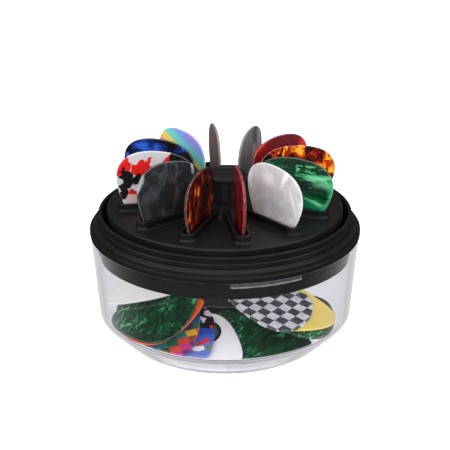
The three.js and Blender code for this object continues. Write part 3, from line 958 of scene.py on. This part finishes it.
def rainbow(s):
    """Slanting bands of colour, measured in millimetres across the bands."""
    parts = s.parts(s.pick_mm())
    slant = s.plus(s.times(parts["X"], 0.33), s.times(parts["Y"], 0.94))
    wobble = s.times(s.noise(s.pick_mm(), 0.12, 1.0), 0.8)
    place = s.maths("DIVIDE", s.minus(s.plus(slant, wobble), BAND_LOW), BAND_SPAN)
    stops = [((band - BAND_LOW) / BAND_SPAN, srgb(*colour)) for band, colour in RAINBOW_BANDS]
    return s.ramp(place, stops), 0.14


def blotched(s, ground, mid, light, spots, seed):
    """Pearloid whose colour gathers in a few blotches on a nearly black ground."""
    where = s.pick_mm()
    level = folded(s, where, 0.2, (1, 0.8, 1), seed)
    gather = 0.0
    loose = s.warped(where, 0.2, 4.0)
    for centre, size, turn in spots:
        gather = s.maths("MAXIMUM", gather, s.spot(loose, centre, size, turn, 0.5))
    strength = s.times(s.ramp(level, [(0.38, 0.0), (0.56, 1.0)]), gather)
    colour = s.ramp(strength, [(0.05, ground), (0.5, mid), (0.95, light)])
    return colour, 0.16, s.bump(level, 0.1, 0.12)


def plain(s, colour, shade):
    cloud = s.noise(s.pick_mm(), 0.12, 3.0)
    return s.mix(s.ramp(cloud, [(0.3, 0.0), (0.7, 1.0)]), colour, shade), 0.22


CHECKS = {"size": 3.5, "turn": 16, "pale": srgb(222, 223, 226), "dark": srgb(52, 57, 59)}
COLOURED_CHECKS = {"size": 3.5, "turn": 8, "run": (-2.205, 3.22, 0), "first": -30.5, "span": 16.0}
CHECK_COLOURS = [
    (0.0, srgb(110, 60, 160)), (0.1, srgb(206, 52, 138)), (0.28, srgb(222, 84, 66)),
    (0.36, srgb(230, 186, 44)), (0.5, srgb(48, 118, 76)), (0.58, srgb(46, 146, 134)),
    (0.68, srgb(56, 88, 168)), (0.9, srgb(48, 52, 92)),
]


def checks(s):
    """Marbled squares of two greys."""
    turned = s.turned(s.pick_mm(), CHECKS["turn"])
    flat = s.vector("ADD", s.flat(turned), (0, 0, 0.5))
    squares = s.add("TexChecker", {
        "Vector": flat, "Scale": 1 / CHECKS["size"],
        "Color1": CHECKS["pale"], "Color2": CHECKS["dark"],
    })
    cloud = s.noise(s.warped(s.pick_mm(), 0.2, 4.0), 0.3, 4.0, 0.6, 0.8)
    cloud = s.ramp(cloud, [(0.35, 0.0), (0.65, 0.35)])
    return s.mix(cloud, squares.outputs["Color"], srgb(128, 131, 136)), 0.16


def coloured_checks(s):
    """Small squares running from magenta through gold and green to blue, some of them dimmed."""
    turned = s.turned(s.pick_mm(), COLOURED_CHECKS["turn"])
    cell = s.vector("FLOOR", s.vector("SCALE", s.flat(turned), 1 / COLOURED_CHECKS["size"]))
    chance = s.add("TexWhiteNoise", {"Vector": cell}, noise_dimensions="3D").outputs["Value"]
    across = s.vector("DOT_PRODUCT", cell, COLOURED_CHECKS["run"])
    across = s.minus(across, COLOURED_CHECKS["first"])
    place = s.plus(s.maths("DIVIDE", across, COLOURED_CHECKS["span"]), s.times(chance, 0.1))
    colour = s.ramp(place, CHECK_COLOURS, "CONSTANT")
    colour = s.mix(s.ramp(chance, [(0.55, 0.0), (0.6, 0.6)], "CONSTANT"), colour, srgb(62, 62, 66))
    return colour, 0.2


SPLASH_BANDS = [
    (0.0, srgb(108, 128, 206)), (0.32, srgb(66, 98, 196)),
    (0.44, srgb(38, 76, 176)), (0.56, srgb(24, 23, 28)),
]
SPLASH_PATCHES = [
    ((214, 214, 220), (12.4, -9.6), (1.6, 2.2), 20), ((226, 226, 232), (8.6, -11), (1, 2.2), 0),
    ((216, 48, 40), (9.6, -17), (0.7, 1), 0), ((214, 56, 50), (2.4, -23.2), (2.2, 1.1), 20),
    ((236, 236, 240), (0.2, -25.6), (2.4, 1.4), -20),
    ((120, 126, 140), (3.6, -26.8), (2, 1.8), 10),
]


def splash(s):
    """Broad ragged sweeps of black, white, blue and a little red."""
    where = s.warped(s.warped(s.pick_mm(), 0.14, 4.0), 0.6, 2.2)
    parts = s.parts(where)
    sweep = s.plus(s.times(parts["X"], 0.45), s.times(parts["Y"], 0.9))
    colour = s.ramp(s.maths("DIVIDE", s.plus(sweep, 30.0), 32.0), SPLASH_BANDS, "CONSTANT")
    for patch, centre, size, turn in SPLASH_PATCHES:
        colour = s.mix(s.spot(where, centre, size, turn, 0.06), colour, srgb(*patch))
    return colour, 0.2


DOT_CENTRE = (1.0, -9.4)
DOT_RADIUS = 7.9


def dotted(s):
    """White with one dark green disc, outlined in black."""
    away = s.vector("DISTANCE", s.flat(s.pick_mm()), (*DOT_CENTRE, 0))
    away = s.maths("DIVIDE", away, DOT_RADIUS * 2)
    cloud = s.noise(s.pick_mm(), 0.15, 3.0)
    base = s.mix(cloud, srgb(246, 245, 244), srgb(252, 251, 251))
    green = srgb(70, 100, 82)
    black = srgb(24, 22, 24)
    stops = [(0.0, green), (0.44, green), (0.45, black), (0.5, black), (0.51, (1, 1, 1))]
    return s.mix(1.0, base, s.ramp(away, stops), "MULTIPLY"), 0.24


WHITE = (250, 250, 252)
MINT = (120, 214, 160)
GREENS = [(4, 38, 22), (9, 74, 42), (84, 196, 130)]
# For each pick, the function for its look, the display colours and the other values that it takes.
PICK_LOOKS = {
    "red_pearl": (
        streaked, [(62, 4, 10), (136, 12, 20), (226, 46, 50)], 86, 3, 1.4,
        [((178, 104, 106), 0.4, (1, -11), (1.2, 6), 20)],
    ),
    "white_pearl": (
        pearl, [(198, 199, 200), (214, 215, 215), (238, 239, 240)], 0.1, (1, 1, 1), 8, 0.8,
        [((186, 190, 208), 0.75, (1.2, -13.8), (3.4, 2), -10),
         (WHITE, 0.9, (5, -2.2), (0.8, 3.4), -28), (WHITE, 0.9, (-11.8, -7.4), (1, 2.4), 0),
         (WHITE, 0.7, (-3.2, -5), (2.6, 1.8), 20), (WHITE, 0.6, (9, -9), (0.8, 4), 24)],
    ),
    "green_pearl": (streaked, GREENS, 12, 12, 0.6, [
        (MINT, 0.85, (8.6, -5.4), (4.4, 0.8), 10), (MINT, 0.5, (10.4, -7.6), (3.4, 1.2), 0),
        ((60, 170, 110), 0.8, (12.6, -8), (1, 3.4), 0),
        ((30, 140, 90), 0.8, (7.4, -15.2), (4.2, 2), -12),
        (MINT, 0.9, (7.8, -14.2), (2.2, 0.6), -14),
        ((50, 160, 104), 0.9, (10.6, -14.6), (0.6, 3.6), -34),
    ]),
    "fire_shell": (
        shell, [(38, 14, 14), (128, 26, 16), (222, 74, 22), (250, 184, 40)], 0.21, 5, 0.42,
        [(0.16, (12, -4.6), (2.2, 3.6), 30), (0.1, (-7.4, -2.6), (2.4, 2.2), 0),
         (0.1, (0.6, -1.8), (3.6, 1.4), -20), (0.13, (9.4, -7.8), (2.6, 1.4), -10),
         (-0.08, (5.4, -2.4), (2.6, 2.2), 0)],
    ),
    "ruby": (
        pearl, [(94, 24, 33), (106, 31, 40), (122, 38, 47)], 0.06, (1, 1, 1), 21, 0.8,
        [((214, 44, 54), 0.9, (10.6, -4.8), (1.6, 2.2), 0),
         ((206, 36, 46), 0.8, (-9.4, -2.4), (3, 1), 40),
         ((134, 8, 18), 0.9, (-8.4, -7.4), (5, 4.4), 0)],
    ),
    "smoke": (
        pearl, [(102, 101, 103), (116, 115, 117), (136, 135, 137)], 0.07, (2.2, 0.3, 1), 2, 0.8,
        [((138, 140, 143), 0.9, (9, -3.4), (1.4, 4.6), 8),
         ((126, 128, 131), 0.7, (-1.6, -4), (1.5, 3.4), 10),
         ((58, 60, 63), 0.7, (4, -4), (2.4, 4), 0),
         ((168, 150, 126), 0.8, (3.4, -8.6), (1.8, 2.2), 0)],
    ),
    "dark_shell": (
        shell, [(124, 118, 119), (126, 112, 108), (150, 98, 74), (206, 116, 62)], 0.24, 14, 0.3,
        [(0.12, (-6.1, -6.4), (2, 1.4), 40), (0.1, (10.6, -7.4), (2, 5), 0),
         (0.1, (3, -9.6), (4, 0.9), 30)],
    ),
    "rainbow": (rainbow, []),
    "blue_pearl": (blotched, [(13, 14, 22), (19, 44, 116), (40, 92, 196)], [
        ((-5.6, -3.6), (4.2, 3), 0), ((0.4, -3.6), (3.2, 2.2), 10), ((-12, -7.4), (1.6, 1.2), 0),
        ((8.4, -2.8), (2.4, 0.9), 20), ((3, -16), (4, 3), 0), ((-7, -17), (3, 4), 20),
    ], 30),
    "camo_red": (camo, []),
    "black_pearl": (
        pearl, [(30, 32, 35), (42, 45, 48), (76, 81, 86)], 0.1, (1, 0.8, 1), 17, 1,
        [((196, 200, 204), 0.85, (8.4, -2.2), (0.5, 2), 20),
         ((190, 194, 198), 0.7, (-12.2, -6.6), (0.5, 3), -18),
         ((84, 90, 95), 0.4, (-8.6, -11), (3.6, 2), 30),
         ((80, 84, 88), 0.4, (-8, -17), (1.2, 3), 20)],
    ),
    "red_shell": (
        shell, [(44, 18, 16), (96, 22, 16), (168, 56, 22), (222, 140, 46)], 0.26, 9, 0.36,
        [(0.14, (1.6, -2.6), (1.2, 2.4), 0), (0.16, (-2.6, -5.6), (2.2, 3.4), 20),
         (0.14, (-9.6, -10.6), (1, 4.6), 10)],
    ),
    "sketch_white": (plain, [(246, 244, 238), (252, 250, 245)]),
    "green": (streaked, GREENS, 60, 40, 1.1),
    "orange": (plain, [(244, 98, 30), (250, 112, 40)]),
    "black": (plain, [(32, 32, 36), (42, 42, 46)]),
    "rainbow_check": (coloured_checks, []),
    "splash": (splash, []),
    "dot_white": (dotted, []),
    "green_front": (streaked, GREENS, 30, 55, 0.9),
    "checker": (checks, []),
    "yellow": (plain, [(240, 216, 104), (248, 226, 124)]),
    "green_side": (streaked, GREENS, 0, 63, 1),
    "black_back": (plain, [(30, 30, 33), (40, 40, 43)]),
    "green_back": (streaked, GREENS, 45, 71, 1),
    "red_floor": (plain, [(176, 34, 48), (190, 44, 56)]),
}


def make_picks():
    for node in sorted(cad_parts):
        if node.startswith("display_pick_"):
            key = node.removeprefix("display_pick_")
            body = node
            centre = box_centre(node)
            sign = 1 if centre.x < 0 else -1
            outside = (sign * -centre.y, sign * centre.x, 0)
        elif node.startswith("loose_pick_"):
            key = node.removeprefix("loose_pick_")
            body = "tub"
            outside = (0, 0, 1)
        else:
            continue
        make_pick(f"{key}_pick", node, body, gloss(key, *PICK_LOOKS[key]), outside)


black = black_plastic()
make_tub()
make_lid(black)
make_carousel(black)
make_cap(black)
make_washer("glide_ring", "glide_washer", "glide_washer", inner=1.9, outer=3.9, material=nylon())
metal = steel()
make_washer("screw_ring", "screw_washer", "lid", inner=1.7, outer=3.3, material=metal)
make_screw(metal)
make_picks()


# -------- studio
# How bright the white set is to light that has bounced off matt, glossy and clear surfaces.
# Reflections in clear plastic see it bright behind and beside the holder and dark in front of it.
FLOOR_GLOW = 0.85
FLOOR_SEEN = {"matt": 1.08, "glossy": 0.03, "clear": 0.72, "clear_front": 0.12, "through": 0.94}
WORLD_SEEN = {"matt": 1.08, "glossy": 0.12, "clear": 0.66, "clear_front": 0.1, "through": 0.94}


def past_two_walls(s):
    """1 for a ray that has gone in and out of two clear walls."""
    return s.maths("GREATER_THAN", s.add("LightPath").outputs["Transmission Depth"], 3.5)


def bounced_strength(s, seen):
    """Brightness of the white set for a ray, by the bounces behind it. The camera sees 1."""
    path = s.add("LightPath").outputs
    glossy = s.maths("MINIMUM", path["Glossy Depth"], 1.0)
    matt = s.maths("MINIMUM", path["Diffuse Depth"], 1.0)
    incoming = s.add("NewGeometry").outputs["Incoming"]
    forwards = s.plus(s.times(s.parts(incoming)["Y"], 1.3), 0.65, clamp=True)
    clear = s.minus(seen["clear"], s.times(forwards, seen["clear"] - seen["clear_front"]))
    clear_share = s.times(path["Is Singular Ray"], s.minus(clear, seen["glossy"]))
    mirrored = s.plus(seen["glossy"], clear_share)
    direct = s.plus(1.0, s.times(past_two_walls(s), seen["through"] - 1.0))
    strength = s.plus(direct, s.times(glossy, s.minus(mirrored, direct)))
    return s.plus(strength, s.times(matt, s.minus(seen["matt"], strength)))


def studio_floor():
    """White floor. Glossy reflections see it dark, as black flags round the set would make it."""
    s = Shader("studio_floor")
    grain = s.noise(s.object_mm(), 0.02, 3.0)
    colour = s.ramp(grain, [(0.3, (0.88, 0.88, 0.885)), (0.7, (0.9, 0.9, 0.9))])
    matt = s.principled(Base_Color=colour, Roughness=0.9, Specular_IOR_Level=0.0)
    glow = s.add("Emission", {"Strength": FLOOR_GLOW}).outputs[0]
    direct = s.add("AddShader", {0: matt, 1: glow}).outputs[0]
    bounced = s.add("Emission", {"Strength": bounced_strength(s, FLOOR_SEEN)}).outputs[0]
    has_bounced = s.plus(s.bounces(), past_two_walls(s), clamp=True)
    size = 3000
    corners = [(-size, -size, 0), (size, -size, 0), (size, size, 0), (-size, size, 0)]
    floor = mesh_object("studio_floor", corners, [(0, 1, 2, 3)])
    surface = s.add("MixShader", {0: has_bounced, 1: direct, 2: bounced}).outputs[0]
    floor.data.materials.append(s.finish(surface))


def area_light(name, place, target, width, height, power):
    data = bpy.data.lights.new(name, "AREA")
    data.shape = "RECTANGLE"
    data.size = width * MM
    data.size_y = height * MM
    data.energy = power
    light = new_object(name, data)
    light.location = Vector(place) * MM
    light.rotation_euler = (Vector(target) - Vector(place)).to_track_quat("-Z", "Y").to_euler()
    return light


def tub_fill():
    """A small unseen lamp under the lid, for the light that gathers inside the clear tub."""
    light = area_light("tub_fill", (0, 0, 29.4), (0, 0, 0), 70, 70, 0.0075)
    light.data.shape = "DISK"
    light.visible_camera = False
    light.visible_glossy = False
    light.visible_transmission = False


def studio_world():
    world = bpy.data.worlds.new("studio")
    bpy.context.scene.world = world
    world.use_nodes = True
    s = Nodes(world.node_tree)
    glow = s.add("Background", {"Strength": bounced_strength(s, WORLD_SEEN)}).outputs[0]
    output = s.add("OutputWorld")
    s.tree.links.new(glow, output.inputs["Surface"])


CAMERA = {"lens": 93.2, "place": (0, -361.6, 184.6), "target": (0, 0, 37.1)}


def camera():
    data = bpy.data.cameras.new("camera")
    data.lens = CAMERA["lens"]
    data.sensor_width = 36
    data.clip_start = 0.01
    data.clip_end = 20
    obj = new_object("camera", data)
    obj.location = Vector(CAMERA["place"]) * MM
    aim = Vector(CAMERA["target"]) * MM - obj.location
    obj.rotation_euler = aim.to_track_quat("-Z", "Y").to_euler()
    bpy.context.scene.camera = obj


studio_floor()
studio_world()
area_light("left_softbox", (-420, -160, 330), (0, 0, 30), 260, 420, 1.0)
area_light("right_softbox", (420, -160, 330), (0, 0, 30), 260, 420, 1.0)
area_light("top_softbox", (0, 60, 620), (0, 0, 30), 420, 300, 0.8)
area_light("front_softbox", (0, -720, 350), (0, 0, 20), 760, 260, 2.4)
tub_fill()
camera()
bpy.context.scene.view_settings.view_transform = "Standard"
